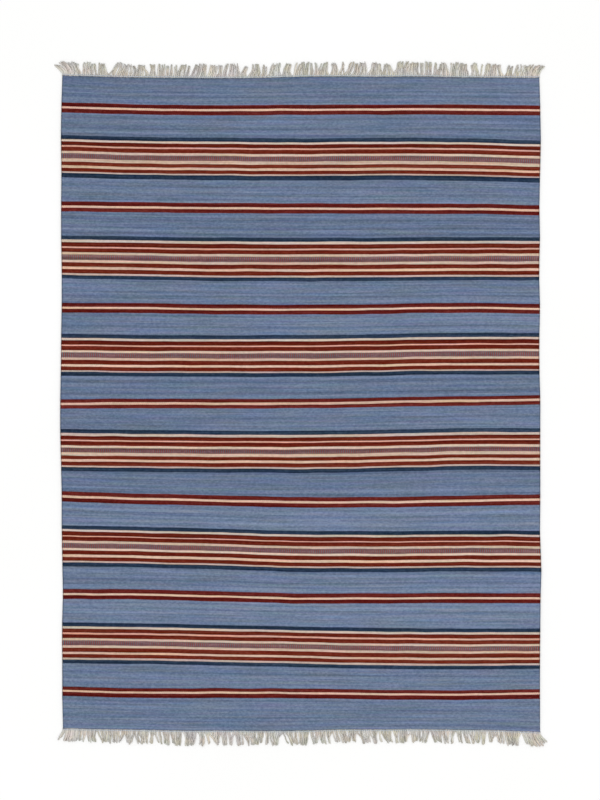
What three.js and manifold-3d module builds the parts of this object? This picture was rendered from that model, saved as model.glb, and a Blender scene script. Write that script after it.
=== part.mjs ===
// A flat-woven kilim rug, lying flat: one banded wool panel with a cotton fringe at each end.
// Millimetres, +Z up. The rug's length runs along Y, its head is at +Y, and its underside is at
// Z = 0. The origin is under the middle of the woven panel.

import * as THREE from 'three';
import { mergeVertices } from 'three/addons/utils/BufferGeometryUtils.js';
import Module from 'manifold-3d';

const wasm = await Module();
wasm.setup();

// The woven panel
const PANEL_WIDTH = 1700;
const PANEL_LENGTH = 2325;
const PANEL_THICKNESS = 3;
const PANEL_RIM = 1.2;
const PANEL_CORNER = 6;
const RIM_STEPS = 2;
const CORNER_STEPS = 3;
const END_STEPS = 29;
const SIDE_STEPS = 48;
const LEAST_BEND = 0.01;

// The twined heading outside each woven end, which holds the fringe's roots
const HEADING_GAP = 0.3;
const HEADING_WIDTH = 4;
const HEADING_HEIGHT = 4;
const HEADING_INSET = 1;

// The fringe: each lock is a bundle of warps, wide and thick at its root
const LOCK_STEPS = 3;
const LOCK_ROOT_WIDTH = 12;
const LOCK_TIP_WIDTH = 7;
const LOCK_ROOT_HEIGHT = 2.8;
const LOCK_TIP_HEIGHT = 2;
const LOCK_LEAN_POWER = 1.5;
const LOCK_ROOT_DEPTH = 2;

// How wide a heading or a lock is on top, as a share of its width on the floor
const TOP_SHARE = 0.7;

// How far the left and right selvedges stand out past half the width, down the length.
const SELVEDGES = table(['y', 'left', 'right'], [
  [-1170, -4, 2], [-1050, -3, 0], [-930, -3, 0], [-815, -2, 1], [-700, -5, 2],
  [-580, -3, 5], [-465, -1, 0], [-350, -1, 1], [-235, 1, 1], [-115, 4, 1],
  [0, 4, 1], [115, 2, -2], [235, 1, -2], [350, -1, 0], [465, -1, -3],
  [580, 1, 0], [700, 1, -2], [815, 0, 0], [930, 2, 3], [1050, 0, 1],
  [1170, -2, -1],
]);

// How far the head and foot edges bow towards +Y from half the length, across the width.
const ENDS = table(['x', 'head', 'foot'], [
  [-860, 6, 7], [-700, 0, 5], [-560, -3, 3], [-420, -4, 0], [-280, -5, 0],
  [-140, -4, -1], [0, 0, 0], [140, 1, 4], [280, 0, 4], [420, 1, 5],
  [560, -2, 3], [700, -3, 1], [860, -3, -6],
]);

// The tufts that the locks gather in, from the left: how many locks, how far the tips of the
// first and the last lean to the right, and how far the tips reach past the woven end.
const HEAD_TUFTS = table(['locks', 'first', 'last', 'reach'], [
  [1, -32, -32, 36], [4, -27, -13, 47], [3, 0, 2, 50], [3, 1, -5, 46], [1, 2, 2, 44],
  [2, 14, 12, 49], [4, 12, 3, 45], [3, 5, -5, 45], [5, 4, 2, 46], [2, 3, 1, 44], [3, 10, 8, 45],
  [4, 15, 9, 47], [4, 10, 3, 45], [1, 8, 8, 48], [3, 10, 1, 49], [2, 8, 9, 43],
  [3, 15, 8, 46], [2, 8, 4, 44], [3, 9, 7, 48], [3, 11, 0, 49], [3, 11, 7, 50],
  [2, 6, 0, 50], [1, 2, 2, 47], [3, 16, 5, 50], [2, 4, 0, 48], [1, 12, 12, 47],
  [2, 18, 14, 49], [4, 16, 1, 51], [4, 7, -1, 49], [2, 0, -4, 44], [1, -3, -3, 42],
  [2, 6, 1, 54], [4, 7, -1, 51], [3, 0, 0, 50], [1, 4, 4, 51], [3, 7, -4, 47],
  [1, 4, 4, 47], [4, 6, -5, 51], [2, 2, -4, 49], [1, 10, 10, 47], [2, 8, 2, 48],
  [3, 2, -5, 49], [3, 12, 4, 43], [2, 5, 0, 43], [3, 4, 20, 43], [1, 24, 24, 38],
]);
const FOOT_TUFTS = table(['locks', 'first', 'last', 'reach'], [
  [1, -21, -21, 38], [3, -13, -7, 46], [2, -8, -5, 45], [3, -2, 0, 45], [3, 3, 0, 49],
  [2, -1, -6, 48], [1, -8, -8, 48], [2, 10, 3, 51], [4, 9, -3, 50], [1, -2, -2, 47], [2, 12, 8, 51],
  [2, 6, 0, 50], [3, 5, 1, 51], [4, 4, -4, 52], [2, 4, 0, 54], [1, 3, 3, 42],
  [2, 9, 4, 49], [2, 7, 5, 50], [1, 8, 8, 49], [3, 14, 8, 52], [4, 13, -3, 48],
  [1, -9, -9, 48], [1, 2, 2, 48], [3, 13, 3, 52], [4, 13, 6, 50], [3, 4, -4, 51],
  [2, 5, 3, 50], [1, 6, 6, 48], [2, 5, 3, 47], [2, 13, 11, 46], [3, 10, 3, 46],
  [2, 4, -2, 47], [3, 13, 5, 50], [1, 7, 7, 49], [1, 10, 10, 47], [3, 14, 4, 45],
  [4, 7, -1, 47], [4, 7, -4, 46], [1, -2, -2, 46], [3, 13, 7, 47], [3, 7, 1, 47],
  [2, 7, 5, 46], [4, 12, 3, 46], [2, 4, -3, 50], [1, 7, 7, 45], [3, 15, 9, 46],
  [4, 11, 1, 52], [4, 13, 23, 50], [1, 30, 30, 38],
]);

/** The rows as objects with the columns' names. */
function table(columns, rows) {
  return rows.map((row) => Object.fromEntries(columns.map((name, i) => [name, row[i]])));
}

/** A column's value at a place along a table, on a smooth curve through its rows. */
function smoothValue(rows, key, column, at) {
  const next = rows.findIndex((row) => row[key] > at);
  const i = next < 0 ? rows.length - 2 : Math.max(next - 1, 0);
  const slope = (j) => {
    const before = rows[Math.max(j - 1, 0)];
    const after = rows[Math.min(j + 1, rows.length - 1)];
    return (after[column] - before[column]) / (after[key] - before[key]);
  };
  const span = rows[i + 1][key] - rows[i][key];
  const t = (at - rows[i][key]) / span;
  const ease = t * t * (3 - 2 * t);
  const leaving = t * (1 - t) * (1 - t) * span * slope(i);
  const arriving = t * t * (t - 1) * span * slope(i + 1);
  return rows[i][column] * (1 - ease) + rows[i + 1][column] * ease + leaving + arriving;
}

const leftEdge = (y) => -PANEL_WIDTH / 2 - smoothValue(SELVEDGES, 'y', 'left', y);
const rightEdge = (y) => PANEL_WIDTH / 2 + smoothValue(SELVEDGES, 'y', 'right', y);
const headEdge = (x) => PANEL_LENGTH / 2 + smoothValue(ENDS, 'x', 'head', x);
const footEdge = (x) => -PANEL_LENGTH / 2 + smoothValue(ENDS, 'x', 'foot', x);

// The two ends: the woven edge, the way out of the rug there, and the tufts of its fringe.
const HEAD = { edge: headEdge, nominal: PANEL_LENGTH / 2, outward: 1, tufts: HEAD_TUFTS };
const FOOT = { edge: footEdge, nominal: -PANEL_LENGTH / 2, outward: -1, tufts: FOOT_TUFTS };

/** The places from first to last, both included, in equal steps. */
function spaced(first, last, steps) {
  return Array.from({ length: steps + 1 }, (_, i) => first + ((last - first) * i) / steps);
}

/** Places across a woven end from left to right, the outermost drawn in by the inset. */
function endStations(end, steps, inset) {
  const left = leftEdge(end.nominal);
  const right = rightEdge(end.nominal);
  const stations = spaced(left, right, steps);
  return stations.map((x) => THREE.MathUtils.clamp(x, left + inset, right - inset));
}

/** The points at which a run of them bends, with its two ends: the straight ones add nothing. */
function bendsOf(points) {
  return points.filter((point, i) => {
    if (i === 0 || i === points.length - 1) return true;
    const before = point.clone().sub(points[i - 1]);
    const after = points[i + 1].clone().sub(point);
    return Math.abs(before.cross(after)) > LEAST_BEND;
  });
}

/** Points along a woven end, from its left corner to its right one. */
function endPoints(end) {
  const stations = endStations(end, END_STEPS, PANEL_CORNER);
  return bendsOf(stations.map((x) => new THREE.Vector2(x, end.edge(x))));
}

/** Points up a selvedge, from its corner at the foot to the one at the head. */
function sidePoints(edge) {
  const lowest = footEdge(edge(FOOT.nominal)) + PANEL_CORNER;
  const highest = headEdge(edge(HEAD.nominal)) - PANEL_CORNER;
  const stations = spaced(lowest, highest, SIDE_STEPS);
  return bendsOf(stations.map((y) => new THREE.Vector2(edge(y), y)));
}

/** The panel's outline: two bowed ends and two uneven selvedges, with small round corners. */
function panelShape() {
  const foot = endPoints(FOOT);
  const right = sidePoints(rightEdge);
  const head = endPoints(HEAD).reverse();
  const left = sidePoints(leftEdge).reverse();
  const runs = [
    { points: foot, corner: new THREE.Vector2(right[0].x, foot.at(-1).y) },
    { points: right, corner: new THREE.Vector2(right.at(-1).x, head[0].y) },
    { points: head, corner: new THREE.Vector2(left[0].x, head.at(-1).y) },
    { points: left, corner: new THREE.Vector2(left.at(-1).x, foot[0].y) },
  ];
  const shape = new THREE.Shape();
  shape.moveTo(foot[0].x, foot[0].y);
  runs.forEach(({ points, corner }, i) => {
    points.slice(1).forEach((point) => shape.lineTo(point.x, point.y));
    const next = runs[(i + 1) % runs.length].points[0];
    shape.quadraticCurveTo(corner.x, corner.y, next.x, next.y);
  });
  return shape;
}

/** The panel: a flat slab of the outline, with its rims rounded and its underside at Z = 0. */
function panelGeometry() {
  const geometry = new THREE.ExtrudeGeometry(panelShape(), {
    depth: PANEL_THICKNESS - 2 * PANEL_RIM,
    bevelThickness: PANEL_RIM,
    bevelSize: PANEL_RIM,
    bevelOffset: -PANEL_RIM,
    bevelSegments: RIM_STEPS,
    curveSegments: CORNER_STEPS,
  });
  return geometry.translate(0, 0, PANEL_RIM);
}

/** Each lock's root across the width, its lean at the tip and its reach past the woven end. */
function lockPlan(end) {
  const locks = end.tufts.flatMap((tuft) => (
    spaced(0, 1, Math.max(tuft.locks - 1, 1)).slice(0, tuft.locks).map((share) => (
      { lean: tuft.first + (tuft.last - tuft.first) * share, reach: tuft.reach }
    ))
  ));
  const left = leftEdge(end.nominal);
  const pitch = (rightEdge(end.nominal) - left) / locks.length;
  return locks.map((lock, i) => ({ ...lock, root: left + pitch * (i + 0.5) }));
}

/** A unit box on the floor, in steps across and along, with each of its points moved by place. */
function shapedBox(across, along, place) {
  const geometry = new THREE.BoxGeometry(1, 1, 1, across, along, 1).translate(0, 0, 0.5);
  const points = geometry.attributes.position;
  for (let i = 0; i < points.count; i += 1) {
    const { x, y, z } = place(new THREE.Vector3().fromBufferAttribute(points, i));
    points.setXYZ(i, x, y, z);
  }
  return geometry;
}

/**
 * The heading lying on the floor: a long box that follows the woven end, just clear of it. It
 * bends midway between the locks.
 */
function headingGeometry(end, locks) {
  const stations = endStations(end, locks, HEADING_INSET);
  const middle = HEADING_GAP + HEADING_WIDTH / 2;
  return shapedBox(locks, 1, (point) => {
    const x = stations[Math.round((point.x + 0.5) * locks)];
    const width = HEADING_WIDTH * THREE.MathUtils.lerp(1, TOP_SHARE, point.z);
    const y = end.edge(x) + end.outward * middle + point.y * width;
    return { x, y, z: point.z * HEADING_HEIGHT };
  });
}

/** One lock lying on the floor: a box, tapered to its tip, narrowed on top and leant sideways. */
function lockGeometry(end, { root, lean, reach }) {
  const start = HEADING_GAP + HEADING_WIDTH - LOCK_ROOT_DEPTH;
  return shapedBox(1, LOCK_STEPS, (point) => {
    const along = 0.5 + end.outward * point.y;
    const taper = THREE.MathUtils.lerp(1, TOP_SHARE, point.z);
    const width = THREE.MathUtils.lerp(LOCK_ROOT_WIDTH, LOCK_TIP_WIDTH, along) * taper;
    const height = THREE.MathUtils.lerp(LOCK_ROOT_HEIGHT, LOCK_TIP_HEIGHT, along);
    const x = root + lean * along ** LOCK_LEAN_POWER + point.x * width;
    const y = end.edge(root) + end.outward * THREE.MathUtils.lerp(start, reach, along);
    return { x, y, z: point.z * height };
  });
}

/** The geometry as a closed solid with shared vertices, ready to be joined to others. */
function toSolid(geometry) {
  const bare = geometry.clone();
  bare.deleteAttribute('normal');
  bare.deleteAttribute('uv');
  const merged = mergeVertices(bare);
  const vertProperties = new Float32Array(merged.attributes.position.array);
  const triVerts = new Uint32Array(merged.index.array);
  return new wasm.Manifold(new wasm.Mesh({ numProp: 3, vertProperties, triVerts }));
}

/** A joined solid back as a geometry. */
function toGeometry(solid) {
  const { vertProperties, triVerts } = solid.getMesh();
  const geometry = new THREE.BufferGeometry();
  geometry.setAttribute('position', new THREE.BufferAttribute(vertProperties, 3));
  geometry.setIndex(new THREE.BufferAttribute(triVerts, 1));
  geometry.computeVertexNormals();
  return geometry;
}

/** A heading with its locks, their roots fused into it. */
function fringeGeometry(end) {
  const locks = lockPlan(end).map((lock) => toSolid(lockGeometry(end, lock)));
  const heading = toSolid(headingGeometry(end, locks.length));
  return toGeometry(locks.reduce((joined, lock) => joined.add(lock), heading));
}

const wool = new THREE.MeshStandardMaterial({ color: 0x6b7a93, roughness: 0.95, metalness: 0 });
const cotton = new THREE.MeshStandardMaterial({ color: 0xcfc8bd, roughness: 0.95, metalness: 0 });

function namedMesh(name, geometry, material) {
  const mesh = new THREE.Mesh(geometry, material);
  mesh.name = name;
  return mesh;
}

const rug = new THREE.Group();
rug.name = 'kilim_rug';
rug.add(
  namedMesh('woven_panel', panelGeometry(), wool),
  namedMesh('fringe_head', fringeGeometry(HEAD), cotton),
  namedMesh('fringe_foot', fringeGeometry(FOOT), cotton),
);

export default rug;
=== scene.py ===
"""A flat-woven kilim rug, lying flat on a pale studio floor.

The tables and sizes are in millimetres and the scene is in metres, +Z up. The rug's length runs
along Y, its head is at +Y, and its underside is at Z = 0.
"""

import math
from types import SimpleNamespace

import bpy
import numpy as np
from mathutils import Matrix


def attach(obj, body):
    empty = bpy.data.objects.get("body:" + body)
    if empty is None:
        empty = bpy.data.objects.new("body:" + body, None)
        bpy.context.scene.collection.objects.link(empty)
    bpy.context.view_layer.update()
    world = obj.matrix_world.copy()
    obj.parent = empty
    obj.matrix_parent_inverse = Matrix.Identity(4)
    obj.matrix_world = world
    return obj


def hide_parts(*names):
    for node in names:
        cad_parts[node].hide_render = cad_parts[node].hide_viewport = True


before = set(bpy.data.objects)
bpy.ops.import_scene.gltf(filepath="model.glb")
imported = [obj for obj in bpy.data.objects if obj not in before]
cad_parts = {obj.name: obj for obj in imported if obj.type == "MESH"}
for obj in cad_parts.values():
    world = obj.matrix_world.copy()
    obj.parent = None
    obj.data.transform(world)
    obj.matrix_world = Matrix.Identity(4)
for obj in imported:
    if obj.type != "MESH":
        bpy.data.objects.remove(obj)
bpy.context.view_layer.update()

MM = 0.001

# The woven panel: its ends thin out over a narrow rim, and its corners are rounded
PANEL_WIDTH = 1700
PANEL_LENGTH = 2325
PANEL_THICKNESS = 3
END_RIM = 1.4
END_RIM_SHARE = 0.75
CORNER_REACH = 6
CORNER_INSET = 2.5

# The weave: every rib is a warp that the weft covers, and a pick is a row of the weft
RIBS = 464
RIB_PITCH = PANEL_WIDTH / RIBS
RIB_COLUMNS = 3
RIB_RELIEF = 0.6
RIB_UNEVENNESS = 0.08
RIB_SEED = 5
SELVEDGE_RIBS = 2
SELVEDGE_RELIEF = 0.3
PICK_PITCH = 1.5

# How the cloth lies: its selvedges lift a little where they bow outward, and it has low waves
SELVEDGE_LIFT = 0.22
SELVEDGE_LIFT_WIDTH = 70
WAVE_HEIGHT = 0.25
WAVE_ACROSS = 410
WAVE_ALONG = 560

# How far the left and right selvedges stand out past half the width, down the length
SELVEDGES = (
    ("y", "left", "right"),
    (-1170, -4, 2), (-1050, -3, 0), (-930, -3, 0), (-815, -2, 1), (-700, -5, 2),
    (-580, -3, 5), (-465, -1, 0), (-350, -1, 1), (-235, 1, 1), (-115, 4, 1),
    (0, 4, 1), (115, 2, -2), (235, 1, -2), (350, -1, 0), (465, -1, -3),
    (580, 1, 0), (700, 1, -2), (815, 0, 0), (930, 2, 3), (1050, 0, 1),
    (1170, -2, -1),
)

# How far the head and foot edges bow towards +Y from half the length, across the width
ENDS = (
    ("x", "head", "foot"),
    (-860, 6, 7), (-700, 0, 5), (-560, -3, 3), (-420, -4, 0), (-280, -5, 0),
    (-140, -4, -1), (0, 0, 0), (140, 1, 4), (280, 0, 4), (420, 1, 5),
    (560, -2, 3), (700, -3, 1), (860, -3, -6),
)

# The stripes lie in groups of two kinds, named here from the head by their yarns
TRIO = ("wine", "buff", "wine")
BAND = (
    "navy", "pale", "russet", "rose", "red", "cream", "mauve",
    "cream", "red", "peach", "red", "ash", "navy",
)

# Each group from the head: how much lighter than usual the field before it is on a screen, how
# far it starts from the head edge, how wide its stripes are, and how far it bows towards the
# head at each of the places across the width
BOW_PLACES = (-850, -570, -285, 0, 285, 570, 850)
GROUPS = (
    (-1, 100.5, (14, 7, 15), (9, 1, -2, 0, 1, 0, -2)),
    (-2, 220, (14, 7.5, 14, 5, 15.5, 8.5, 18, 11.5, 13, 8.5, 13, 5, 16.5),
     (12, 5, 2, 0, 2, 0, -7)),
    (0, 451.5, (15, 7.5, 14), (9, 5, 2, 0, 0, -1, -6)),
    (-5, 573.5, (14, 9, 15.5, 6, 14.5, 8.5, 19, 9, 15.5, 9, 14.5, 6, 13.5),
     (9, 5, 1, 0, 1, 3, 3)),
    (0, 810.5, (14, 7, 14), (7, 5, 1, 0, 2, 6, 2)),
    (1, 919, (14, 8, 15, 5, 15, 7.5, 18.5, 8, 16, 7.5, 14.5, 4.5, 14),
     (4, 1, 0, 0, 4, 8, 8)),
    (-4, 1145, (12.5, 8.5, 13), (-1, 0, 0, 0, 5, 9, 13)),
    (0, 1259.5, (14, 9.5, 13.5, 5, 15.5, 8, 16.5, 11, 12.5, 9, 14.5, 5.5, 14),
     (7, 4, 1, 0, 4, 10, 10)),
    (-3, 1494, (14.5, 8, 15), (21, 12, 6, 0, 0, 5, 10)),
    (5, 1614.5, (13.5, 7.5, 14.5, 4, 14.5, 8, 18, 7.5, 15, 9, 14, 5.5, 14),
     (20, 15, 8, 0, -1, 1, 1)),
    (2, 1836.5, (14.5, 7, 14), (16, 14, 7, 0, 0, 1, 1)),
    (6, 1954, (13.5, 8, 13.5, 6.5, 13.5, 8, 17.5, 8, 15.5, 8, 13, 6.5, 13),
     (15, 12, 6, 0, -5, -7, -6)),
    (1, 2174.5, (12, 7, 15.5), (8, 2, 1, 0, -4, -5, -1)),
)
LAST_FIELD_SHADE = -1
RAMP_MARGIN = 4

# The yarns' colours, as they show on a screen of 0 to 255, then the colour and width of a darker
# line at each woven end
FIELD_BLUE = (107, 122, 148)
YARNS = {
    "navy": (38, 53, 73),
    "russet": (93, 28, 14),
    "red": (103, 36, 22),
    "wine": (96, 31, 27),
    "pale": (208, 189, 176),
    "cream": (211, 184, 164),
    "peach": (221, 185, 162),
    "rose": (221, 167, 149),
    "ash": (194, 172, 162),
    "buff": (221, 184, 161),
    "mauve": (134, 53, 50),
}
MAUVE_BLUE = (100, 111, 116)
END_BLUE = (86, 97, 117)
END_LINE = 3.5
SCREEN_GAMMA = 2.2

# How uneven the wool's shade is: spots of these sizes across the rug and along it, made lighter
# and darker by these amounts on a scale of 0 to 1. They are whole rows, streaks of one length of
# yarn, spots where the yarn is thick or thin, and slow drifts. The red and the blue in its
# colour change by these shares of themselves too, because the dye took unevenly.
WOOL_SHADES = (
    ("across", "along", "amount", "seed"),
    (6000, 13, 0.23, 0.0), (240, 4.2, 0.14, 3.7), (9, 5, 0.18, 7.4), (500, 120, 0.03, 11.1),
)
WOOL_HUES = (
    ("channel", "across", "along", "amount", "seed"),
    (0, 180, 10, 0.27, 11.9), (2, 220, 12, 0.27, 13.9),
)
HUE_DETAIL = 3.0

# How far the picks stray from straight: stripe by stripe, and where a whole band bends
PICK_STRAYS = (
    ("across", "along", "amount", "seed"),
    (110, 18, 2.8, 17.3), (140, 170, 4.5, 22.5),
)

# How much lighter the wool gets with each metre to the right, and the painted shade that scales
# its colour, with a little painted light on the tops: between two ribs and on top of one, between
# two picks and on top of one, and along the selvedges
LIGHTER_TO_RIGHT = 0.006
RIB_GROOVE_PAINTED_SHADES = (0.90, 1.03)
PICK_GROOVE_PAINTED_SHADES = (0.95, 1.02)
SELVEDGE_PAINTED_SHADE = 0.8

# The wool's surface: its fibres, in metres, how high they stand beside the weave, how deep the
# weave's bumps are, and how rough it is
WOOL_FIBRES = {"across_size": 0.0009, "along_size": 0.0005, "detail": 2.0, "seed": 1.3}
WOOL_FIBRE_HEIGHT = 0.5
WOOL_BUMP_DEPTH = 0.3
WOOL_ROUGHNESS = (0.85, 0.98)
BUMP_STRENGTH = 0.6

# The usual range of a noise about 0
NOISE_RANGE = (-0.3, 0.3)

# The twined heading outside each woven end: two cotton cords twisted round each other
HEADING_GAP = 0.3
HEADING_WIDTH = 4
HEADING_HEIGHT = 4
HEADING_INSET = 1
HEADING_CORDS = 2
HEADING_CORD_RADIUS = 1.05
HEADING_TURN = 14.6
HEADING_TURN_STEPS = 10
HEADING_SIDES = 6
HEADING_STRIPS = 29

# The fringe: a lock is two strands, or three near the corners, where it is fuller, and a strand
# is two warps laid side by side. A strand's side of its lock runs from -1 at the left to 1.
STRAND_SIDES = (-1, 1)
CORNER_STRAND_SIDES = (-1, 0, 1)
CORNER_LOCKS = 4
WARPS_PER_STRAND = 2

# A warp's mesh, and how thick it is: its width at the root as a share of its usual one, what it
# gains between two places along it, and how much one warp differs from another
WARP_STEPS = 32
WARP_SIDES = 6
WARP_HALF_WIDTH = 1.65
WARP_HALF_HEIGHT = 1.2
WARP_AT_ROOT = 0.9
WARP_GAINS = (
    ("from", "to", "gain"),
    (0, 0.4, 0.1), (0.2, 1, 0.06), (0.94, 1, -0.45),
)
WARP_THICKNESSES = (0.82, 1.16)
CORNER_FULLNESS = 1.25
CORNER_FULLS = (0.1, 0.5)

# How far past the woven end things happen: a warp starts inside the cloth, leaves the heading,
# lies free, sways, lies as far from its partner as it will, rides up on others, and reaches the
# floor, and its tuft begins to lean. Then how much less and more than its lock a strand reaches,
# and a warp than its strand.
WARP_START = -3
LOCK_START = 2.3
FREE_START = 4.3
SWAYING_AT = 24.3
APART_AT = 30
RIDE_UP_SPAN = (12, 32)
ON_FLOOR_AT = 11
LEAN_START = (2, 20)
CORNER_LEAN_START = 4
REACH_LESS = 4.5
REACH_MORE = 5.5
TIP_REACHES = (-1, 0.5)

# How far aside the strands of a lock lie at its root and at its tip, what they stray from that,
# how much a tuft draws together, the share of the strands that lean their own way, and how far,
# and the share of the tufts with a strand that lies with the next one. Near the corners the
# strands lie wider, and the outermost open into spikes.
STRAND_ASIDE_AT_ROOT = 3.2
STRAND_ASIDE_AT_TIP = (2.2, 4.2)
STRAND_STRAY = 1.8
TUFT_SQUEEZE = (0.72, 1.0)
WILD_SHARE = 0.15
WILD_LEAN = 10
ASTRAY_SHARE = 0.22
CORNER_ASIDE_AT_ROOT = 4
CORNER_ASIDE = 5.2
CORNER_OPENING = 16
CORNER_SPIKE = 5

# How the strands curve: where along them they bow most, how soon they lean and draw together,
# how their tips hook, and how strands and warps sway
TUFT_BOW = 3.5
LOCK_BOW = 2
BOW_POWER = 0.8
LEAN_POWER = (0.55, 1.3)
LOCK_LEAN_POWER = (0.65, 1.4)
GATHER_POWER = (1.2, 2.4)
TUFT_HOOK = 3.5
STRAND_HOOK = 2.5
HOOK_LENGTH = 14
STRAND_SWAY = (0.2, 1.3)
STRAND_SWAY_LENGTH = (30, 60)
WARP_SWAY = (0.1, 0.35)
WARP_SWAY_LENGTH = (16, 30)

# How the warps of a strand lie: beside each other, crossing now and then, and on other strands
WARP_ASIDE = 1.25
WARP_ASIDE_AT_TIP = (1.2, 1.7)
WARP_ABOVE = 0.5
CROSSING_LENGTH = (70, 170)
CROSSING_START = 0.1
RIDE_UP = 2.5

# The cut ends: from near a warp's last step its plies part, aimed as the warp is from a few steps
# before, and each tapers and curls down to the floor
PLIES = 3
PLY_STEPS = 4
PLY_SIDES = 4
PLY_RADIUS = 0.5
PLY_TAPER = 0.55
PLY_THICKNESSES = (0.8, 1.15)
SPLIT_STEP = 29
AIM_STEP = 26
SPLIT_LENGTH = 6
SPLIT_LENGTH_SHARES = (0.6, 1.0)
SPLIT_SPREAD = 1.8
SPLIT_SPREAD_POWER = 1.6
SPLIT_CURL = 0.8
SPLIT_TIP_HEIGHTS = (0.5, 1.6)

# The tufts that the locks gather in, from the left: how many locks, how far the tips of the
# first and the last lean to the right, and how far the tips reach past the woven end
HEAD_TUFTS = (
    ("locks", "first", "last", "reach"),
    (1, -32, -32, 36), (4, -27, -13, 47), (3, 0, 2, 50), (3, 1, -5, 46), (1, 2, 2, 44),
    (2, 14, 12, 49), (4, 12, 3, 45), (3, 5, -5, 45), (5, 4, 2, 46), (2, 3, 1, 44), (3, 10, 8, 45),
    (4, 15, 9, 47), (4, 10, 3, 45), (1, 8, 8, 48), (3, 10, 1, 49), (2, 8, 9, 43),
    (3, 15, 8, 46), (2, 8, 4, 44), (3, 9, 7, 48), (3, 11, 0, 49), (3, 11, 7, 50),
    (2, 6, 0, 50), (1, 2, 2, 47), (3, 16, 5, 50), (2, 4, 0, 48), (1, 12, 12, 47),
    (2, 18, 14, 49), (4, 16, 1, 51), (4, 7, -1, 49), (2, 0, -4, 44), (1, -3, -3, 42),
    (2, 6, 1, 54), (4, 7, -1, 51), (3, 0, 0, 50), (1, 4, 4, 51), (3, 7, -4, 47),
    (1, 4, 4, 47), (4, 6, -5, 51), (2, 2, -4, 49), (1, 10, 10, 47), (2, 8, 2, 48),
    (3, 2, -5, 49), (3, 12, 4, 43), (2, 5, 0, 43), (3, 4, 20, 43), (1, 24, 24, 38),
)
FOOT_TUFTS = (
    ("locks", "first", "last", "reach"),
    (1, -21, -21, 38), (3, -13, -7, 46), (2, -8, -5, 45), (3, -2, 0, 45), (3, 3, 0, 49),
    (2, -1, -6, 48), (1, -8, -8, 48), (2, 10, 3, 51), (4, 9, -3, 50), (1, -2, -2, 47),
    (2, 12, 8, 51),
    (2, 6, 0, 50), (3, 5, 1, 51), (4, 4, -4, 52), (2, 4, 0, 54), (1, 3, 3, 42),
    (2, 9, 4, 49), (2, 7, 5, 50), (1, 8, 8, 49), (3, 14, 8, 52), (4, 13, -3, 48),
    (1, -9, -9, 48), (1, 2, 2, 48), (3, 13, 3, 52), (4, 13, 6, 50), (3, 4, -4, 51),
    (2, 5, 3, 50), (1, 6, 6, 48), (2, 5, 3, 47), (2, 13, 11, 46), (3, 10, 3, 46),
    (2, 4, -2, 47), (3, 13, 5, 50), (1, 7, 7, 49), (1, 10, 10, 47), (3, 14, 4, 45),
    (4, 7, -1, 47), (4, 7, -4, 46), (1, -2, -2, 46), (3, 13, 7, 47), (3, 7, 1, 47),
    (2, 7, 5, 46), (4, 12, 3, 46), (2, 4, -3, 50), (1, 7, 7, 45), (3, 15, 9, 46),
    (4, 11, 1, 52), (4, 13, 23, 50), (1, 30, 30, 38),
)
HEAD = {
    "name": "head", "outward": 1, "tufts": HEAD_TUFTS, "seed": 1666, "corner_lean_power": 2.0,
}
FOOT = {
    "name": "foot", "outward": -1, "tufts": FOOT_TUFTS, "seed": 777, "corner_lean_power": 1.2,
}

# The cotton's colours, as they show on a screen: in painted light where it faces up, in painted
# shade where it faces sideways into the grooves, and towards its tip. Then how far along it
# begins to turn to its tip colour, its turns of twist, how many of the mesh's yarns are one
# strand, and how much lighter it is at its root, which for the warps is a painted shade between
# the crowded strands, with the shares of its green and blue there.
COTTONS = {
    "cotton_warps": {
        "light": (213, 207, 195), "dark": (147, 142, 132), "towards_tip": (186, 182, 173),
        "tip_from": 0.72, "turns": 7, "yarns_in_strand": WARPS_PER_STRAND,
        "at_root": (-0.008, 1.01, 1.02),
    },
    "cotton_heading": {
        "light": (200, 208, 215), "dark": (152, 159, 167), "towards_tip": (182, 187, 190),
        "tip_from": 1, "turns": 380, "yarns_in_strand": 1, "at_root": (0, 1, 1),
    },
    "cotton_ends": {
        "light": (200, 196, 187), "dark": (166, 162, 154), "towards_tip": (176, 172, 164),
        "tip_from": 0, "turns": 2, "yarns_in_strand": WARPS_PER_STRAND * PLIES,
        "at_root": (0, 1, 1),
    },
}
TIP_SHARE = 0.85
ROOT_HUE_SPAN = (0.15, 0.4)
ROOT_SHADE_SPAN = (0.15, 0.6)

# How uneven the cotton is: spots whose sizes are in yarns or strands across and in shares of
# their length along them. They make it lighter, or tan, or olive by these amounts. Then how much
# lighter one strand is than another, and the painted shade in the groove between two plies, from
# which slope to which a yarn turns from its painted shade to its painted light, and its bumps and
# roughness.
COTTON_PATCHES = {"across_size": 0.7, "along_size": 0.16, "detail": 2.0}
TAN_SPOTS = {"across_size": 7.0, "along_size": 0.6, "seed": 2.2}
OLIVE_SPOTS = {"across_size": 8.0, "along_size": 0.7, "seed": 6.4}
COTTON_FIBRES = {"across_size": 0.12, "along_size": 0.02, "detail": 2.0, "seed": 4.1}
PATCH_AMOUNT = 0.2
TAN_RED = 0.08
TAN_BLUE = -0.13
OLIVE_GREEN = 0.11
STRAND_SHADES = (-0.09, 0.06)
PLY_GROOVE_PAINTED_SHADES = (-0.06, 0.015)
TOP_RANGE = (0.1, 0.8)
COTTON_FIBRE_HEIGHT = 0.6
COTTON_BUMP_DEPTH = 0.4
COTTON_ROUGHNESS = (0.82, 0.97)

# The camera looks straight down from far off, and the frame covers this length of floor
CAMERA_CENTRE = (-0.0026, 0.0130)
CAMERA_COVERS = 2.8416
CAMERA_LENS = 200
CAMERA_SENSOR = 36
CAMERA_FAR = 100

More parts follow.
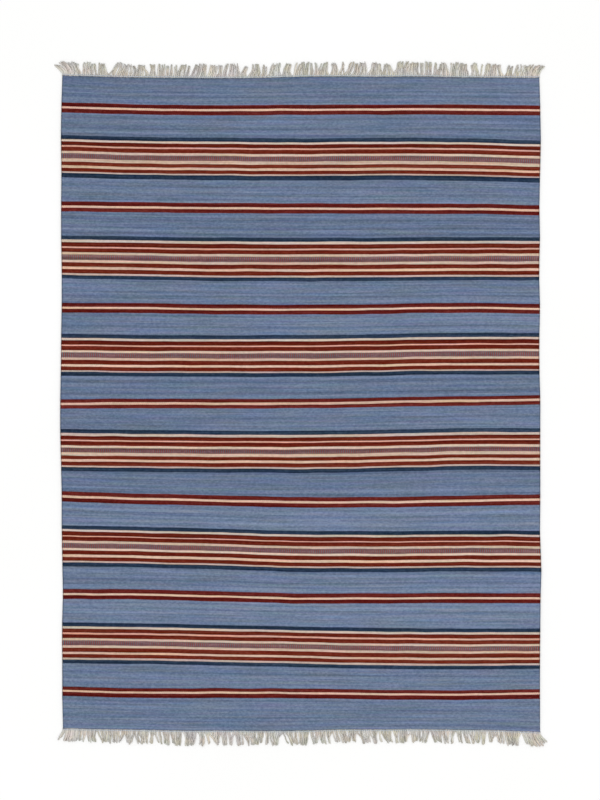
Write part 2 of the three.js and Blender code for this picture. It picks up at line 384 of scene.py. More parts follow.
# The studio: a pale, faintly mottled floor, and the light of the world and of a soft sun
FLOOR_SIZE = 400
FLOOR_DROP = 0.3
FLOOR_COLOURS = ((252, 252, 251), (254, 254, 254))
FLOOR_MOTTLE = 0.9
WORLD_LIGHT = 0.82
KEY_LIGHT = 0.8
KEY_SOFTNESS = 35
KEY_TILT = (38, 0, 35)


def columns(rows):
    """A table's columns by name: its first row names them."""
    names, *values = rows
    return dict(zip(names, np.array(values, float).T))


def smooth_value(stations, values, at):
    """Values at places along a table's column, on a smooth curve through its rows."""
    slopes = np.gradient(values, stations)
    slopes[1:-1] = (values[2:] - values[:-2]) / (stations[2:] - stations[:-2])
    i = np.clip(np.searchsorted(stations, at, side="right") - 1, 0, len(stations) - 2)
    span = stations[i + 1] - stations[i]
    t = (at - stations[i]) / span
    ease = t * t * (3 - 2 * t)
    leaving = t * (1 - t) ** 2 * span * slopes[i]
    arriving = t * t * (t - 1) * span * slopes[i + 1]
    return values[i] * (1 - ease) + values[i + 1] * ease + leaving + arriving


def smooth_step(value, start, end):
    """0 up to the start, 1 from the end on, and a smooth rise between."""
    t = np.clip((value - start) / (end - start), 0, 1)
    return t * t * (3 - 2 * t)


def selvedge_bow(side, y):
    """How far a selvedge stands out past half the width."""
    bows = columns(SELVEDGES)
    return smooth_value(bows["y"], bows[side], y)


def left_edge(y):
    return -PANEL_WIDTH / 2 - selvedge_bow("left", y)


def right_edge(y):
    return PANEL_WIDTH / 2 + selvedge_bow("right", y)


def end_bow(end, x):
    """How far a woven end bows towards +Y at places across the width."""
    bows = columns(ENDS)
    return smooth_value(bows["x"], bows[end["name"]], x)


def end_edge(end, x):
    return end["outward"] * PANEL_LENGTH / 2 + end_bow(end, x)


def mesh_piece(name, points, faces, corner_uvs, material):
    """A smooth-shaded mesh in the row frame, from points in millimetres."""
    mesh = bpy.data.meshes.new(name)
    mesh.from_pydata((points * MM).tolist(), [], faces)
    for uv_name, uvs in corner_uvs.items():
        layer = mesh.uv_layers.new(name=uv_name)
        layer.data.foreach_set("uv", np.asarray(uvs, np.float32).ravel())
    mesh.polygons.foreach_set("use_smooth", np.ones(len(faces), bool))
    mesh.materials.append(material)
    mesh.update()
    piece = bpy.data.objects.new(name, mesh)
    bpy.context.scene.collection.objects.link(piece)
    return piece


def tube_points(centres, half_widths, half_heights, sides):
    """The points of tubes along rows of centre points, ring by ring."""
    tangents = np.gradient(centres, axis=1)
    tangents /= np.linalg.norm(tangents, axis=2, keepdims=True)
    across = np.cross([0, 0, 1], tangents)
    across /= np.linalg.norm(across, axis=2, keepdims=True)
    upward = np.cross(tangents, across)
    angles = np.arange(sides) * 2 * np.pi / sides
    wide = half_widths[..., None, None] * np.cos(angles)[:, None] * across[:, :, None]
    high = half_heights[..., None, None] * np.sin(angles)[:, None] * upward[:, :, None]
    return (centres[:, :, None] + wide + high).reshape(-1, 3)


def tube_faces(strands, stations, sides):
    """The walls of tubes, then the caps that close their first and last rings."""
    numbers = np.arange(strands * stations * sides).reshape(strands, stations, sides)
    turned = np.roll(numbers, -1, axis=2)
    walls = [numbers[:, :-1], turned[:, :-1], turned[:, 1:], numbers[:, 1:]]
    caps = np.concatenate([numbers[:, 0, ::-1], numbers[:, -1]])
    return np.stack(walls, axis=-1).reshape(-1, 4).tolist() + caps.tolist()


def tube_maps(strands, steps, sides, strips):
    """
    Two maps of the corners of tube_faces.

    The map named Yarn holds the strand's number and how far round it a point is, and how far
    along it. The map named OFBake gives each strand, or each of its strips, a cell of its own.
    """
    strand, step, side = np.meshgrid(
        np.arange(strands), np.arange(steps), np.arange(sides), indexing="ij"
    )
    round_it = np.stack([side, side + 1, side + 1, side], axis=-1) / sides
    along = np.stack([step, step, step + 1, step + 1], axis=-1) / steps
    strip = step * strips // steps
    cell = strand * strips + strip
    cells = math.ceil(math.sqrt(strands * strips))
    yarn = np.stack([strand[..., None] + round_it, along], axis=-1).reshape(-1, 2)
    bake_u = (cell % cells)[..., None] + round_it
    bake_v = (cell // cells)[..., None] + along * strips - strip[..., None]
    bake = np.stack([bake_u, bake_v], axis=-1).reshape(-1, 2) / cells

    cap_strand = np.tile(np.repeat(np.arange(strands), sides), 2)
    cap_end = np.repeat([0.0, 1.0], strands * sides)
    cap_cell = cap_strand * strips + (cap_end * (strips - 1)).astype(int)
    cap_yarn = np.stack([cap_strand + 0.5, cap_end], axis=-1)
    cap_bake = np.stack([cap_cell % cells + 0.5, cap_cell // cells + cap_end], axis=-1) / cells
    return {"Yarn": np.concatenate([yarn, cap_yarn]), "OFBake": np.concatenate([bake, cap_bake])}


def tubes_piece(name, centres, half_widths, half_heights, sides, material, strips=1):
    """Closed tubes along rows of centre points, a row for each strand."""
    strands, stations = centres.shape[:2]
    return mesh_piece(
        name,
        tube_points(centres, half_widths, half_heights, sides),
        tube_faces(strands, stations, sides),
        tube_maps(strands, stations - 1, sides, strips),
        material,
    )


def screen_colour(red, green, blue, lighter=0, share=1):
    """A colour as it shows on a screen of 0 to 255, on a scale of 0 to 1."""
    return ((red + lighter) / 255, (green + lighter) / 255, (blue + lighter) / 255, share)


class Shader:
    """A material's nodes: each method adds a node and returns its result."""

    def __init__(self, name, **constants):
        self.material = bpy.data.materials.new(name)
        self.material.use_nodes = True
        self.tree = self.material.node_tree
        self.surface = self.tree.nodes["Principled BSDF"]
        for socket, value in constants.items():
            self.surface.inputs[socket.replace("_", " ")].default_value = value

    def feed(self, socket, value):
        """Gives a socket a constant, or links it to another node's result."""
        if isinstance(value, bpy.types.NodeSocket):
            self.tree.links.new(value, socket)
        else:
            socket.default_value = value

    def add(self, kind, inputs, **settings):
        node = self.tree.nodes.new("ShaderNode" + kind)
        for setting, value in settings.items():
            setattr(node, setting, value)
        for socket, value in inputs.items():
            self.feed(node.inputs[socket], value)
        return node

    def math(self, operation, *values):
        return self.add("Math", dict(enumerate(values)), operation=operation).outputs[0]

    def mix(self, share, first, second):
        """The first colour at a share of 0, and the second at 1."""
        return self.add("Mix", {0: share, 6: first, 7: second}, data_type="RGBA").outputs[2]

    def tint(self, colour, scales, lighter):
        """The colour with each of its channels scaled, and all of them made lighter."""
        scales = self.add("CombineXYZ", dict(enumerate(scales))).outputs[0]
        lighter = self.add("CombineXYZ", {0: lighter, 1: lighter, 2: lighter}).outputs[0]
        return self.add(
            "VectorMath", {0: colour, 1: scales, 2: lighter}, operation="MULTIPLY_ADD"
        ).outputs[0]

    def paint(self, colour):
        """Gives the surface a colour that was mixed as it shows on a screen."""
        black = (0.0, 0.0, 0.0)
        kept = self.add("VectorMath", {0: colour, 1: black}, operation="MAXIMUM").outputs[0]
        linear = self.add("Gamma", {0: kept, 1: SCREEN_GAMMA}).outputs[0]
        self.feed(self.surface.inputs["Base Color"], linear)

    def emboss(self, height, depth):
        """Gives the surface bumps of a depth in millimetres."""
        inputs = {"Strength": BUMP_STRENGTH, "Distance": depth * MM, "Height": height}
        bump = self.add("Bump", inputs).outputs[0]
        self.feed(self.surface.inputs["Normal"], bump)

    def rise(self, value, low, high, start=0.0, end=1.0):
        """From start, where the value is low, to end, where it is high."""
        return self.add(
            "MapRange", {0: value, 1: low, 2: high, 3: start, 4: end}
        ).outputs[0]

    def map_axes(self, name):
        """The two coordinates of the map with this name."""
        coordinates = self.add("UVMap", {}, uv_map=name).outputs[0]
        axes = self.add("SeparateXYZ", {0: coordinates}).outputs
        return axes[0], axes[1]

    def noise(self, across, along, across_size, along_size, detail=1.0, seed=0.0):
        """Soft noise about 0, in spots of the given sizes."""
        vector = self.add(
            "CombineXYZ",
            {
                0: self.math("DIVIDE", across, across_size),
                1: self.math("DIVIDE", along, along_size),
                2: seed,
            },
        ).outputs[0]
        result = self.add("TexNoise", {"Vector": vector, "Scale": 1.0, "Detail": detail})
        return self.math("SUBTRACT", result.outputs[0], 0.5)

    def arch(self, value):
        """A row of arches: 0 at each whole value and 1 halfway between."""
        place = self.math("FRACT", value)
        rest = self.math("SUBTRACT", 1.0, place)
        return self.math("MULTIPLY", self.math("MULTIPLY", place, rest), 4.0)

    def stepped(self, value, edges, colours):
        """A colour and its share for each stretch of the value, which runs from 0 to 1."""
        node = self.add("ValToRGB", {0: value})
        ramp = node.color_ramp
        ramp.interpolation = "CONSTANT"
        ramp.elements.remove(ramp.elements[1])
        ramp.elements[0].position = 0
        ramp.elements[0].color = colours[0]
        for edge, colour in zip(edges, colours[1:]):
            ramp.elements.new(edge).color = colour
        return node.outputs[0], node.outputs[1]


def striped_colour(shader, along):
    """The cloth's colour by how far a place is from the head, and 1 where one yarn makes it."""
    field_shades = [shade for shade, *_ in GROUPS] + [LAST_FIELD_SHADE]
    colour, one_yarn, last_end = None, None, None
    for i, (_, start, widths, _) in enumerate(GROUPS):
        stripes = TRIO if len(widths) == len(TRIO) else BAND
        end = start + sum(widths)
        length = end - start + 2 * RAMP_MARGIN
        edges = (RAMP_MARGIN + np.cumsum([0, *widths])) / length
        colours = [screen_colour(*FIELD_BLUE, lighter=field_shades[i])]
        colours += [screen_colour(*YARNS[yarn], share=yarn != "mauve") for yarn in stripes]
        colours += [screen_colour(*FIELD_BLUE, lighter=field_shades[i + 1])]
        first, last = (start - RAMP_MARGIN) * MM, (end + RAMP_MARGIN) * MM
        place = shader.rise(along, first, last)
        here, here_one_yarn = shader.stepped(place, edges.tolist(), colours)
        if colour is None:
            colour, one_yarn = here, here_one_yarn
        else:
            reached = shader.math("GREATER_THAN", along, (last_end + start) / 2 * MM)
            colour = shader.mix(reached, colour, here)
            one_yarn = shader.mix(reached, one_yarn, here_one_yarn)
        last_end = end
    return colour, one_yarn


def wool_colour(shader, across, along, woven, odd_rib):
    """The wool before its shades: the stripes, and a darker line at each woven end."""
    beaten = woven
    for width, length, amount, seed in PICK_STRAYS[1:]:
        stray = shader.noise(across, along, width * MM, length * MM, seed=seed)
        beaten = shader.math("MULTIPLY_ADD", stray, amount * MM, beaten)
    colour, one_yarn = striped_colour(shader, beaten)
    two_yarns = shader.mix(odd_rib, screen_colour(*YARNS["mauve"]), screen_colour(*MAUVE_BLUE))
    colour = shader.mix(one_yarn, two_yarns, colour)
    to_end = shader.math("MINIMUM", along, shader.math("SUBTRACT", PANEL_LENGTH * MM, along))
    at_end = shader.math("LESS_THAN", to_end, END_LINE * MM)
    return shader.mix(at_end, colour, screen_colour(*END_BLUE))


def wool_material():
    """Weft-faced wool: ribs along the rug, picks across it, and the dyer's uneven shades."""
    shader = Shader("wool_cloth", Specular_IOR_Level=0.06, Sheen_Weight=0.07, Sheen_Roughness=0.6)
    across, along = shader.map_axes("Weave")
    rib = shader.math("DIVIDE", shader.math("ADD", across, PANEL_WIDTH / 2 * MM), RIB_PITCH * MM)
    odd_rib = shader.math("MODULO", shader.math("FLOOR", rib), 2.0)
    shift = shader.math("MULTIPLY", shader.math("SUBTRACT", odd_rib, 0.5), PICK_PITCH / 2 * MM)
    woven = shader.math("ADD", along, shift)
    colour = wool_colour(shader, across, along, woven, odd_rib)

    lighter = shader.math("MULTIPLY", across, LIGHTER_TO_RIGHT)
    for width, length, amount, seed in WOOL_SHADES[1:]:
        spots = shader.noise(across, woven, width * MM, length * MM, seed=seed)
        lighter = shader.math("MULTIPLY_ADD", spots, amount, lighter)

    rib_arch = shader.arch(rib)
    pick_arch = shader.arch(shader.math("DIVIDE", woven, PICK_PITCH * MM))
    # Painted shade along the selvedges, where the cloth turns down at its sides
    from_middle = shader.math("ABSOLUTE", across)
    rim = (PANEL_WIDTH / 2 - SELVEDGE_RIBS * RIB_PITCH / 2) * MM
    rim_painted_shade = shader.rise(from_middle, rim - MM, rim + MM, 1.0, SELVEDGE_PAINTED_SHADE)
    # Painted shade in the grooves between ribs and between picks, and painted light on their tops
    shade = shader.rise(rib_arch, 0.0, 1.0, *RIB_GROOVE_PAINTED_SHADES)
    shade = shader.math("MULTIPLY", shade, shader.rise(pick_arch, 0.0, 1.0, *PICK_GROOVE_PAINTED_SHADES))
    shade = shader.math("MULTIPLY", shade, rim_painted_shade)
    scales = [shade, shade, shade]
    for channel, width, length, amount, seed in WOOL_HUES[1:]:
        hue = shader.noise(across, woven, width * MM, length * MM, HUE_DETAIL, seed)
        stronger = shader.math("MULTIPLY_ADD", hue, amount, 1.0)
        scales[channel] = shader.math("MULTIPLY", shade, stronger)
    shader.paint(shader.tint(colour, scales, lighter))

    fibres = shader.noise(across, woven, **WOOL_FIBRES)
    weave = shader.math("MULTIPLY", rib_arch, pick_arch)
    height = shader.math("MULTIPLY_ADD", fibres, WOOL_FIBRE_HEIGHT, weave)
    shader.emboss(height, WOOL_BUMP_DEPTH)
    roughness = shader.rise(fibres, *NOISE_RANGE, *WOOL_ROUGHNESS)
    shader.feed(shader.surface.inputs["Roughness"], roughness)
    return shader.material


def cotton_material(name):
    """Undyed cotton yarn: painted light on top, painted shade on its sides, darker at its tips."""
    look = COTTONS[name]
    shader = Shader(name, Specular_IOR_Level=0.15, Sheen_Weight=0.08, Sheen_Roughness=0.6)
    place, along = shader.map_axes("Yarn")
    strand = shader.math("FLOOR", shader.math("DIVIDE", place, look["yarns_in_strand"]))
    # Painted light and shade: lighter where the yarn faces up, darker where it faces sideways
    normal = shader.add("NewGeometry", {}).outputs["Normal"]
    painted_light_share = shader.rise(shader.add("SeparateXYZ", {0: normal}).outputs[2], *TOP_RANGE)
    colour = shader.mix(painted_light_share, screen_colour(*look["dark"]), screen_colour(*look["light"]))
    # Darker towards the tip
    towards_tip = shader.math("MULTIPLY", shader.rise(along, look["tip_from"], 1.0), TIP_SHARE)
    colour = shader.mix(towards_tip, colour, screen_colour(*look["towards_tip"]))

    root_painted_shade, root_green, root_blue = look["at_root"]
    tan = shader.noise(strand, along, **TAN_SPOTS)
    olive = shader.noise(strand, along, **OLIVE_SPOTS)
    red = shader.math("MULTIPLY_ADD", tan, TAN_RED, 1.0)
    green = shader.rise(along, *ROOT_HUE_SPAN, root_green, 1.0)
    green = shader.math("MULTIPLY_ADD", olive, OLIVE_GREEN, green)
    blue = shader.rise(along, *ROOT_HUE_SPAN, root_blue, 1.0)
    blue = shader.math("MULTIPLY_ADD", tan, TAN_BLUE, blue)

    turned = shader.math("MULTIPLY", place, PLIES)
    turned = shader.math("MULTIPLY_ADD", along, look["turns"] * PLIES, turned)
    plies = shader.arch(turned)
    patches = shader.noise(place, along, **COTTON_PATCHES)
    own = shader.add("TexWhiteNoise", {"W": strand}, noise_dimensions="1D").outputs[0]
    lighter = shader.rise(own, 0.0, 1.0, *STRAND_SHADES)
    lighter = shader.math("MULTIPLY_ADD", patches, PATCH_AMOUNT, lighter)
    # Painted shade at the warps' root, where the strands crowd together
    at_root = shader.rise(along, *ROOT_SHADE_SPAN, root_painted_shade, 0.0)
    lighter = shader.math("ADD", lighter, at_root)
    # Painted shade in the grooves of the twist between the plies
    lighter = shader.math("ADD", lighter, shader.rise(plies, 0.0, 0.5, *PLY_GROOVE_PAINTED_SHADES))
    shader.paint(shader.tint(colour, (red, green, blue), lighter))

    fibres = shader.noise(place, along, **COTTON_FIBRES)
    height = shader.math("MULTIPLY_ADD", fibres, COTTON_FIBRE_HEIGHT, plies)
    shader.emboss(height, COTTON_BUMP_DEPTH)
    roughness = shader.rise(patches, *NOISE_RANGE, *COTTON_ROUGHNESS)
    shader.feed(shader.surface.inputs["Roughness"], roughness)
    return shader.material


def cloth_rows():
    """The mesh's rows: how far each is from the head edge, and its bow at places across."""
    def bow_of_end(end):
        return lambda x: end_bow(end, x)

    def bow_of_group(bows):
        places = np.array(BOW_PLACES, float)
        return lambda x: smooth_value(places, np.array(bows, float), x)

    rows = [(0, bow_of_end(HEAD)), (END_RIM, bow_of_end(HEAD))]
    for _, start, widths, bows in GROUPS:
        cuts = 2 if len(widths) == len(BAND) else 1
        for share in np.linspace(0, 1, cuts + 1):
            rows.append((start + share * sum(widths), bow_of_group(bows)))
    rows.append((PANEL_LENGTH - END_RIM, bow_of_end(FOOT)))
    rows.append((PANEL_LENGTH, bow_of_end(FOOT)))
    return rows


def cloth_grid():
    """Where the cloth's rows and columns cross: x, y and the two weave coordinates."""
    across = np.linspace(-PANEL_WIDTH / 2, PANEL_WIDTH / 2, RIBS * RIB_COLUMNS + 1)
    share = across / PANEL_WIDTH + 0.5
    grid = []
    for along, bow in cloth_rows():
        nominal = PANEL_LENGTH / 2 - along
        x = left_edge(nominal) * (1 - share) + right_edge(nominal) * share
        to_corner = np.hypot(
            np.clip(CORNER_REACH - (PANEL_WIDTH / 2 - np.abs(across)), 0, None),
            np.clip(CORNER_REACH - min(along, PANEL_LENGTH - along), 0, None),
        )
        past_round = np.clip(to_corner / CORNER_REACH - 1, 0, None)
        x -= np.sign(across) * past_round * CORNER_INSET / (math.sqrt(2) - 1)
        grid.append((x, nominal + bow(x), across, np.full_like(across, along)))
    return np.array(grid).transpose(1, 0, 2)


def cloth_lift(x, y, along):
    """How far the cloth's underside is off the floor."""
    low = min(columns(SELVEDGES)[side].min() for side in ("left", "right"))
    left = (selvedge_bow("left", y) - low) * np.exp(-(x - left_edge(y)) / SELVEDGE_LIFT_WIDTH)
    right = (selvedge_bow("right", y) - low) * np.exp((x - right_edge(y)) / SELVEDGE_LIFT_WIDTH)
    waves = 2 + np.sin(2 * np.pi * (x / WAVE_ACROSS + y / WAVE_ALONG))
    waves = waves + np.sin(2 * np.pi * (x / WAVE_ALONG - y / WAVE_ACROSS))
    lift = SELVEDGE_LIFT * (left + right) + WAVE_HEIGHT / 2 * waves
    return lift * smooth_step(np.minimum(along, PANEL_LENGTH - along), 0, SELVEDGE_LIFT_WIDTH)


def make_cloth(material):
    """The woven panel: a thin ribbed sheet, the same on both faces."""
    x, y, across, along = cloth_grid()
    rows, count = x.shape
    number = np.arange(count)
    valley = number % RIB_COLUMNS == 0
    outer = np.minimum(number, count - 1 - number) < SELVEDGE_RIBS * RIB_COLUMNS
    rib = np.minimum(number // RIB_COLUMNS, RIBS - 1)
    uneven = np.random.default_rng(RIB_SEED).uniform(-RIB_UNEVENNESS, 0, RIBS)[rib]
    half = PANEL_THICKNESS / 2 + np.where(outer, SELVEDGE_RELIEF / 2, 0)
    half = half + np.where(valley, -RIB_RELIEF, uneven)
    half = np.tile(half, (rows, 1))
    half[[1, -2]] *= END_RIM_SHARE
    half[[0, -1]] = 0
    half[:, [0, -1]] = 0
    middle = cloth_lift(x, y, along) + (PANEL_THICKNESS + SELVEDGE_RELIEF * outer) / 2
    top = np.stack([x, y, middle + half], axis=-1).reshape(-1, 3)
    inner = (slice(1, -1), slice(1, -1))
    under = np.stack([x, y, middle - half], axis=-1)[inner].reshape(-1, 3)

    top_numbers = np.arange(rows * count).reshape(rows, count)
    under_numbers = top_numbers.copy()
    under_numbers[inner] = len(top) + np.arange(len(under)).reshape(rows - 2, count - 2)

    def quads(numbers):
        corners = [numbers[:-1, :-1], numbers[1:, :-1], numbers[1:, 1:], numbers[:-1, 1:]]
        return np.stack(corners, axis=-1).reshape(-1, 4)

    faces = np.concatenate([quads(under_numbers)[:, ::-1], quads(top_numbers)])
    weave = np.stack([across, along], axis=-1)
    weave = np.concatenate([weave.reshape(-1, 2), weave[inner].reshape(-1, 2)])
    square = weave / (PANEL_WIDTH, -PANEL_LENGTH) + (0.5, 1)
    corners = faces.ravel()
    corner_uvs = {"Weave": weave[corners] * MM, "OFBake": square[corners]}
    return mesh_piece("cloth", np.concatenate([top, under]), faces.tolist(), corner_uvs, material)


def make_heading(end, material):
    """The heading: cords twisted round each other along a woven end."""
    nominal = end["outward"] * PANEL_LENGTH / 2
    left = left_edge(nominal) + HEADING_INSET
    right = right_edge(nominal) - HEADING_INSET
    steps = round((right - left) / HEADING_TURN * HEADING_TURN_STEPS)
    x = np.linspace(left, right, steps + 1)
    y = end_edge(end, x) + end["outward"] * (HEADING_GAP + HEADING_WIDTH / 2)
    reach = HEADING_HEIGHT / 2 - HEADING_CORD_RADIUS
    centres = []
    for cord in range(HEADING_CORDS):
        angle = 2 * np.pi * (x / HEADING_TURN + cord / HEADING_CORDS)
        z = HEADING_HEIGHT / 2 + reach * np.sin(angle)
        centres.append(np.stack([x, y + reach * np.cos(angle), z], axis=-1))
    radii = np.full((HEADING_CORDS, steps + 1), HEADING_CORD_RADIUS)
    return tubes_piece(
        "heading_" + end["name"], np.array(centres), radii, radii, HEADING_SIDES, material,
        strips=HEADING_STRIPS,
    )


def lock_plan(end):
    """Each lock's tuft, how far its tip leans, and its reach past the woven end."""
    tufts = columns(end["tufts"])
    numbers, leans, reaches = [], [], []
    for number, (locks, first, last, reach) in enumerate(zip(*tufts.values())):
        numbers.extend([number] * int(locks))
        leans.extend(np.linspace(first, last, int(locks)))
        reaches.extend([reach] * int(locks))
    return np.array(numbers), np.array(leans), np.array(reaches)


def lock_strands(locks):
    """For each strand, the number of its lock, and its side of it."""
    numbers, sides = [], []
    for number in range(locks):
        at_corner = min(number, locks - 1 - number) < CORNER_LOCKS
        places = CORNER_STRAND_SIDES if at_corner else STRAND_SIDES
        numbers.extend([number] * len(places))
        sides.extend(places)
    return np.array(numbers), np.array(sides)


def open_corners(tip, lock_tip, side):
    """Spreads the strands of the outermost locks into spikes."""
    count = len(CORNER_STRAND_SIDES)
    opening = CORNER_OPENING * (1 + side[:count]) / 2 - CORNER_SPIKE
    tip[:count] = lock_tip[:count] + opening
    tip[-count:] = lock_tip[-count:] - opening[::-1]


def join_tufts(tip, tuft, draw):
    """Lets the last strand of some tufts lie with the tuft next to it."""
    last = np.flatnonzero(np.diff(tuft))
    chance = draw.uniform(0, 1, len(last))
    leaves_right = last[chance < ASTRAY_SHARE]
    leaves_left = last[chance > 1 - ASTRAY_SHARE]
    tip[leaves_right] = tip[leaves_right + 1]
    tip[leaves_left + 1] = tip[leaves_left]


def strand_plan(end, draw):
    """How the fringe's strands lie, from left to right: arrays with a value for each strand."""
    tufts, leans, reaches = lock_plan(end)
    locks = len(tufts)
    lock, side = lock_strands(locks)
    tuft = tufts[lock]
    in_lock = np.bincount(lock)[lock]
    at_corner = in_lock == len(CORNER_STRAND_SIDES)
    nominal = end["outward"] * PANEL_LENGTH / 2
    left = left_edge(nominal)
    lock_width = (right_edge(nominal) - left) / locks
    root = left + lock_width * (lock + 0.5)
    lock_tip = root + leans[lock]

    def own(low, high):
        return draw.uniform(low, high, len(lock))

    def of_lock(low, high):
        return draw.uniform(low, high, locks)[lock]

    def of_tuft(low, high):
        return draw.uniform(low, high, tuft[-1] + 1)[tuft]

    stray = own(-STRAND_STRAY, STRAND_STRAY)
    tip = lock_tip + side * own(*STRAND_ASIDE_AT_TIP) + stray
    tip[at_corner] = (lock_tip + side * CORNER_ASIDE + stray / 2)[at_corner]
    open_corners(tip, lock_tip, side)
    middle = (np.bincount(tuft, tip) / np.bincount(tuft))[tuft]
    squeeze = of_tuft(*TUFT_SQUEEZE)
    squeeze[at_corner] = 1
    tip = middle + (tip - middle) * squeeze
    apart = of_tuft(*WARP_ASIDE_AT_TIP)
    apart[at_corner] = WARP_ASIDE * CORNER_FULLNESS ** 2
    wild = (own(0, 1) < WILD_SHARE) & ~at_corner
    tip = tip + wild * own(-WILD_LEAN, WILD_LEAN)
    bow = of_tuft(-TUFT_BOW, TUFT_BOW) + of_lock(-LOCK_BOW, LOCK_BOW)
    bow[at_corner] = 0
    lean_power = of_tuft(*LEAN_POWER)
    hook = of_tuft(-TUFT_HOOK, TUFT_HOOK) + own(-STRAND_HOOK, STRAND_HOOK)
    hook[at_corner] = 0
    lean_start = of_tuft(*LEAN_START)
    lean_start[at_corner] = CORNER_LEAN_START
    lean_power[at_corner] = end["corner_lean_power"]
    lean_power = lean_power * of_lock(*LOCK_LEAN_POWER)
    join_tufts(tip, tuft, draw)

    order = (side + 1) / 2 * (in_lock - 1)
    return {
        "at_corner": at_corner,
        "root": root,
        "aside": side * np.where(at_corner, CORNER_ASIDE_AT_ROOT, STRAND_ASIDE_AT_ROOT),
        "held_left": root + lock_width * (order / in_lock - 0.5),
        "held_width": lock_width / in_lock,
        "reach": reaches[lock],
        "lock_lean": leans[lock],
        "own_lean": tip - lock_tip,
        "lean_start": lean_start,
        "lean_power": lean_power,
        "bow": bow,
        "hook": hook,
        "apart": apart,
    }


def warp_paths(end):
    """
    Centre points of the fringe's warps, a row for each, from inside the cloth to the tip, and
    whether each is near a corner.
    """
    draw = np.random.default_rng(end["seed"])
    plan = strand_plan(end, draw)
    strands = len(plan["root"])
    warps = strands * WARPS_PER_STRAND
    strand = np.arange(warps) // WARPS_PER_STRAND
    place = (np.arange(warps) % WARPS_PER_STRAND / WARPS_PER_STRAND)[:, None]
    lies = SimpleNamespace(**{name: values[strand][:, None] for name, values in plan.items()})

    def each_strand(low, high):
        return draw.uniform(low, high, strands)[strand][:, None]

    def each_warp(low, high):
        return draw.uniform(low, high, warps)[:, None]

    reach = lies.reach + each_strand(-REACH_LESS, REACH_MORE)
    tip = reach - SPLIT_LENGTH / 2 + each_warp(*TIP_REACHES)
    out = WARP_START + (tip - WARP_START) * np.linspace(0, 1, WARP_STEPS + 1)

    freed = np.clip((out - LOCK_START) / (reach - LOCK_START), 0, 1)
    leaning = np.clip((out - lies.lean_start) / (reach - lies.lean_start), 0, 1)
    gathered = 1 - (1 - leaning) ** each_strand(*GATHER_POWER)
    hooking = np.clip((out - reach) / HOOK_LENGTH + 1, 0, None)
    centre = lies.root + lies.lock_lean * leaning ** lies.lean_power
    centre = centre + lies.aside * (1 - gathered) + lies.own_lean * gathered
    centre = centre + lies.bow * np.sin(np.pi * freed ** BOW_POWER) + lies.hook * hooking ** 2
    swing = 2 * np.pi * (out / each_strand(*STRAND_SWAY_LENGTH) + each_strand(0, 1))
    own_swing = 2 * np.pi * (out / each_warp(*WARP_SWAY_LENGTH) + each_warp(0, 1))
    sway = each_strand(*STRAND_SWAY) * np.sin(swing) + each_warp(*WARP_SWAY) * np.sin(own_swing)
    centre = centre + smooth_step(out, FREE_START, SWAYING_AT) * sway

    hand = np.where(each_strand(0, 1) < 0.5, -1, 1)
    turns = out / each_strand(*CROSSING_LENGTH) + each_strand(-CROSSING_START, CROSSING_START)
    angle = 2 * np.pi * (hand * turns + place)
    apart = WARP_ASIDE + (lies.apart - WARP_ASIDE) * smooth_step(out, 0, APART_AT)
    free = smooth_step(out, 0, FREE_START)
    held = lies.held_left + lies.held_width * (place + 0.5 / WARPS_PER_STRAND)
    x = held * (1 - free) + (centre + apart * np.cos(angle)) * free
    y = end_edge(end, held) + end["outward"] * out

    ride_up = each_strand(0, RIDE_UP) * smooth_step(out, *RIDE_UP_SPAN)
    lying = WARP_HALF_HEIGHT + WARP_ABOVE * free * (1 + np.sin(angle)) + ride_up
    in_heading = smooth_step(out, 0, HEADING_WIDTH)
    in_weave = PANEL_THICKNESS / 2 * (1 - in_heading) + HEADING_HEIGHT / 2 * in_heading
    settled = smooth_step(out, HEADING_WIDTH, ON_FLOOR_AT)
    z = in_weave * (1 - settled) + lying * settled
    return np.stack([x, y, z], axis=-1), plan["at_corner"][strand]


def make_warps(end, paths, at_corner, material):
    """The fringe's warps as soft round yarns, a little thinner at the tip."""
    share = np.linspace(0, 1, WARP_STEPS + 1)
    width = np.full_like(share, WARP_AT_ROOT)
    for start, stop, gain in WARP_GAINS[1:]:
        width += gain * smooth_step(share, start, stop)
    thickness = np.random.default_rng(end["seed"] + 1).uniform(*WARP_THICKNESSES, len(paths))
    widths = thickness[:, None] * width
    half_widths = WARP_HALF_WIDTH * widths
    half_widths[at_corner] *= 1 + (CORNER_FULLNESS - 1) * smooth_step(share, *CORNER_FULLS)
    return tubes_piece(
        "warps_" + end["name"], paths, half_widths, WARP_HALF_HEIGHT * widths, WARP_SIDES, material
    )


def make_split_ends(end, paths, material):
    """The warps' cut ends, each opened into its plies, which spread on the floor."""
    draw = np.random.default_rng(end["seed"] + 2)

    def each_ply(low, high):
        return draw.uniform(low, high, (len(paths) * PLIES, 1))

    start = np.repeat(paths[:, SPLIT_STEP], PLIES, axis=0)
    aim = paths[:, -1] - paths[:, AIM_STEP]
    aim /= np.linalg.norm(aim, axis=1, keepdims=True)
    aim = np.repeat(aim, PLIES, axis=0)
    length = each_ply(*SPLIT_LENGTH_SHARES) * SPLIT_LENGTH
    spread = each_ply(-1, 1) * SPLIT_SPREAD
    curl = each_ply(-1, 1) * SPLIT_CURL
    share = np.linspace(0, 1, PLY_STEPS + 1)
    x = start[:, :1] + aim[:, :1] * length * share
    x = x + spread * share ** SPLIT_SPREAD_POWER + curl * np.sin(np.pi * share)
    y = start[:, 1:2] + aim[:, 1:2] * length * share
    z = start[:, 2:] * (1 - share) + each_ply(*SPLIT_TIP_HEIGHTS) * share
    radii = PLY_RADIUS * (1 - PLY_TAPER * share) * each_ply(*PLY_THICKNESSES)
    return tubes_piece(
        "split_ends_" + end["name"], np.stack([x, y, z], axis=-1), radii, radii, PLY_SIDES,
        material,
    )


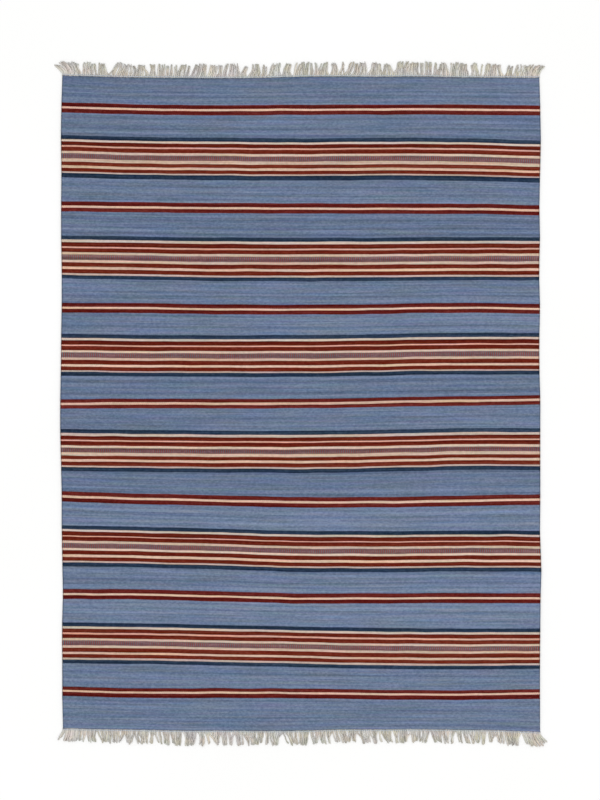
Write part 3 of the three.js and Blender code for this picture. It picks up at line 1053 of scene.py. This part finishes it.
def make_fringe(end, warp_cotton, heading_cotton, end_cotton):
    """A heading and its fringe, standing for the solid of that end."""
    paths, at_corner = warp_paths(end)
    pieces = [
        make_heading(end, heading_cotton),
        make_warps(end, paths, at_corner, warp_cotton),
        make_split_ends(end, paths, end_cotton),
    ]
    for piece in pieces:
        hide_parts("fringe_" + end["name"])
        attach(piece, "root")
    return pieces


def add_camera():
    data = bpy.data.cameras.new("camera")
    data.lens = CAMERA_LENS
    data.sensor_width = CAMERA_SENSOR
    data.clip_end = CAMERA_FAR
    camera = bpy.data.objects.new("camera", data)
    height = CAMERA_COVERS * CAMERA_LENS / CAMERA_SENSOR + PANEL_THICKNESS * MM
    camera.location = (*CAMERA_CENTRE, height)
    bpy.context.scene.collection.objects.link(camera)
    bpy.context.scene.camera = camera


def floor_material():
    shader = Shader("floor", Roughness=0.9, Specular_IOR_Level=0.0)
    coordinates = shader.add("TexCoord", {}).outputs["Object"]
    axes = shader.add("SeparateXYZ", {0: coordinates}).outputs
    mottle = shader.noise(axes[0], axes[1], FLOOR_MOTTLE, FLOOR_MOTTLE)
    darker, paler = [screen_colour(*colour) for colour in FLOOR_COLOURS]
    shader.paint(shader.mix(shader.rise(mottle, *NOISE_RANGE), darker, paler))
    return shader.material


def add_floor():
    half = FLOOR_SIZE / 2
    mesh = bpy.data.meshes.new("floor")
    corners = [(-half, -half, 0), (half, -half, 0), (half, half, 0), (-half, half, 0)]
    mesh.from_pydata(corners, [], [(0, 1, 2, 3)])
    mesh.materials.append(floor_material())
    floor = bpy.data.objects.new("floor", mesh)
    floor.location.z = -FLOOR_DROP * MM
    bpy.context.scene.collection.objects.link(floor)


def add_light():
    """An even, soft light from all round, with a weak key light from one side."""
    world = bpy.data.worlds.new("studio")
    world.use_nodes = True
    world.node_tree.nodes["Background"].inputs["Color"].default_value = (1, 1, 1, 1)
    world.node_tree.nodes["Background"].inputs["Strength"].default_value = WORLD_LIGHT
    bpy.context.scene.world = world
    key_data = bpy.data.lights.new("key", "SUN")
    key_data.energy = KEY_LIGHT
    key_data.angle = math.radians(KEY_SOFTNESS)
    key = bpy.data.objects.new("key", key_data)
    key.rotation_euler = [math.radians(turn) for turn in KEY_TILT]
    bpy.context.scene.collection.objects.link(key)
    bpy.context.scene.view_settings.view_transform = "Standard"


add_camera()
add_floor()
add_light()

cloth = make_cloth(wool_material())
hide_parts("woven_panel")
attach(cloth, "root")

cottons = [cotton_material(name) for name in COTTONS]
fringes = make_fringe(HEAD, *cottons) + make_fringe(FOOT, *cottons)
